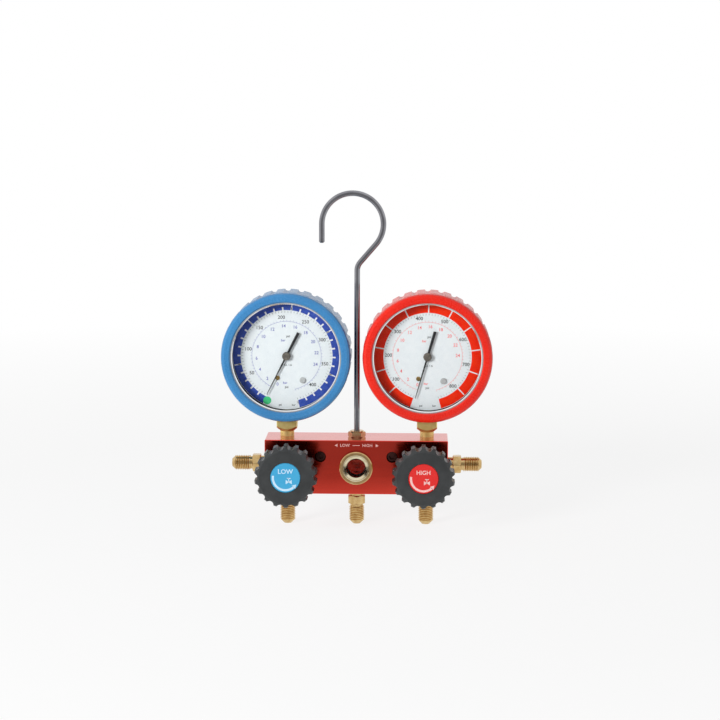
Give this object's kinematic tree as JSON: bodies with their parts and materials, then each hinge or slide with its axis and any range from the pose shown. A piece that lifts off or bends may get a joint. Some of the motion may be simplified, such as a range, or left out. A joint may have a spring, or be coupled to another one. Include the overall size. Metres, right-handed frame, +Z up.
{
  "type": "refrigerant manifold gauge",
  "caption": "Valve bar with low and high side gauges in rubber boots, sight glass, flare hose ports and a swivelling hook.",
  "frame": {"origin": "on the centre hose port's axis, at the outer end of its thread", "axes": "+Z up, -Y out of the dials and handwheels, -X towards the low side gauge"},
  "size_m": [0.1938, 0.0746, 0.2406],
  "materials": {
    "block_red": "anodised red, satin gloss",
    "brass": "machined, bright",
    "brass_bush": "machined, dull",
    "sight_brass": "nickel brass, polished",
    "sight_glass": "clear",
    "seal_black": "matt",
    "hook_chrome": "plated",
    "boot_blue": "moulded, soft sheen",
    "boot_red": "moulded, soft sheen",
    "case_steel": "black, satin",
    "bezel_chrome": "plated",
    "lens_clear": "clear",
    "dial_white": "printed, matt",
    "pointer_black": "matt",
    "movement_brass": "stamped",
    "movement_steel": "ground",
    "tube_bronze": "drawn",
    "seat_white": "turned",
    "screw_steel": "zinc plated",
    "plug_black": "black oxide",
    "knob_black": "moulded",
    "badge_blue": "printed",
    "badge_red": "printed"
  },
  "bodies": {
    "manifold": {"manifold_block": "block_red", "low_port": "brass", "centre_port": "brass", "high_port": "brass", "park_fittings": "brass", "plug_screws": "plug_black", "sight_ring": "sight_brass", "sight_glass": "sight_glass", "sight_gasket": "seal_black", "hook_nut": "brass_bush", "low_bonnet": "brass", "low_stem_seal": "seal_black", "low_gauge_case": "case_steel", "low_gauge_bezel": "bezel_chrome", "low_gauge_lens": "lens_clear", "low_lens_gasket": "seal_black", "low_gauge_dial": "dial_white", "low_dial_screws": "movement_brass", "low_gauge_socket": "brass", "low_socket_screws": "screw_steel", "low_gauge_boot": "boot_blue", "low_movement_frame": "movement_brass", "low_hairspring": "tube_bronze", "low_bourdon_tube": "tube_bronze", "high_bonnet": "brass", "high_stem_seal": "seal_black", "high_gauge_case": "case_steel", "high_gauge_bezel": "bezel_chrome", "high_gauge_lens": "lens_clear", "high_lens_gasket": "seal_black", "high_gauge_dial": "dial_white", "high_dial_screws": "movement_brass", "high_gauge_socket": "brass", "high_socket_screws": "screw_steel", "high_gauge_boot": "boot_red", "high_movement_frame": "movement_brass", "high_hairspring": "tube_bronze", "high_bourdon_tube": "tube_bronze"},
    "hook": {"hook_rod": "hook_chrome"},
    "low_seat": {"low_seat_disc": "seat_white"},
    "low_handwheel": {"low_valve_stem": "movement_steel", "low_knob": "knob_black", "low_knob_screw": "screw_steel", "low_knob_badge": "badge_blue"},
    "low_sector": {"low_sector_gear": "movement_brass"},
    "low_needle": {"low_pointer": "pointer_black", "low_pinion_arbor": "movement_steel"},
    "low_linkage": {"low_link": "movement_brass"},
    "low_tip": {"low_tube_tip": "movement_brass"},
    "high_seat": {"high_seat_disc": "seat_white"},
    "high_handwheel": {"high_valve_stem": "movement_steel", "high_knob": "knob_black", "high_knob_screw": "screw_steel", "high_knob_badge": "badge_red"},
    "high_sector": {"high_sector_gear": "movement_brass"},
    "high_needle": {"high_pointer": "pointer_black", "high_pinion_arbor": "movement_steel"},
    "high_linkage": {"high_link": "movement_brass"},
    "high_tip": {"high_tube_tip": "movement_brass"}
  },
  "joints": [
    {"name": "hook_swivel", "type": "hinge", "parent": "manifold", "child": "hook", "pos_m": [0, 0, 0.0613], "axis": [0, 0, 1], "continuous": true},
    {"name": "low_valve_lift", "type": "slide", "parent": "manifold", "child": "low_seat", "axis": [0, -1, 0], "range_m": [0, 0.003]},
    {"name": "low_handwheel_turn", "type": "hinge", "parent": "low_seat", "child": "low_handwheel", "pos_m": [-0.048, -0.0406, 0.0418], "axis": [0, -1, 0], "range_deg": [0, 720]},
    {"name": "low_sector_swing", "type": "hinge", "parent": "manifold", "child": "low_sector", "pos_m": [-0.03777, 0.0058, 0.10483], "axis": [0, -1, 0], "range_deg": [0, 32], "stiffness_Nm_per_rad": 0.02, "springref_deg": -5.73},
    {"name": "low_pointer_turn", "type": "hinge", "parent": "manifold", "child": "low_needle", "pos_m": [-0.0505, 0, 0.12], "axis": [0, 1, 0], "range_deg": [0, 320], "deforming": ["low_hairspring"]},
    {"name": "low_link_pivot", "type": "hinge", "parent": "low_sector", "child": "low_linkage", "pos_m": [-0.03174, 0.0048, 0.10037], "axis": [0, -1, 0], "range_deg": [-32, 0]},
    {"name": "low_tube_tip_travel", "type": "slide", "parent": "manifold", "child": "low_tip", "axis": [0.3502, 0, 0.9367], "range_m": [0, 0.00413], "deforming": ["low_bourdon_tube"]},
    {"name": "high_valve_lift", "type": "slide", "parent": "manifold", "child": "high_seat", "axis": [0, -1, 0], "range_m": [0, 0.003]},
    {"name": "high_handwheel_turn", "type": "hinge", "parent": "high_seat", "child": "high_handwheel", "pos_m": [0.048, -0.0406, 0.0418], "axis": [0, -1, 0], "range_deg": [0, 720]},
    {"name": "high_sector_swing", "type": "hinge", "parent": "manifold", "child": "high_sector", "pos_m": [0.06323, 0.0058, 0.10483], "axis": [0, -1, 0], "range_deg": [0, 32], "stiffness_Nm_per_rad": 0.02, "springref_deg": -5.73},
    {"name": "high_pointer_turn", "type": "hinge", "parent": "manifold", "child": "high_needle", "pos_m": [0.0505, 0, 0.12], "axis": [0, 1, 0], "range_deg": [0, 320], "deforming": ["high_hairspring"]},
    {"name": "high_link_pivot", "type": "hinge", "parent": "high_sector", "child": "high_linkage", "pos_m": [0.06926, 0.0048, 0.10037], "axis": [0, -1, 0], "range_deg": [-32, 0]},
    {"name": "high_tube_tip_travel", "type": "slide", "parent": "manifold", "child": "high_tip", "axis": [0.3502, 0, 0.9367], "range_m": [0, 0.00413], "deforming": ["high_bourdon_tube"]}
  ],
  "couplings": [
    {"joint": "low_handwheel_turn", "follows": "low_valve_lift", "rad_per_m": 4188.8},
    {"joint": "low_pointer_turn", "follows": "low_sector_swing", "ratio": 10},
    {"joint": "low_link_pivot", "follows": "low_sector_swing", "ratio": -1},
    {"joint": "low_tube_tip_travel", "follows": "low_sector_swing", "m_per_rad": 0.0074029},
    {"joint": "high_handwheel_turn", "follows": "high_valve_lift", "rad_per_m": 4188.8},
    {"joint": "high_pointer_turn", "follows": "high_sector_swing", "ratio": 10},
    {"joint": "high_link_pivot", "follows": "high_sector_swing", "ratio": -1},
    {"joint": "high_tube_tip_travel", "follows": "high_sector_swing", "m_per_rad": 0.0074029}
  ]
}
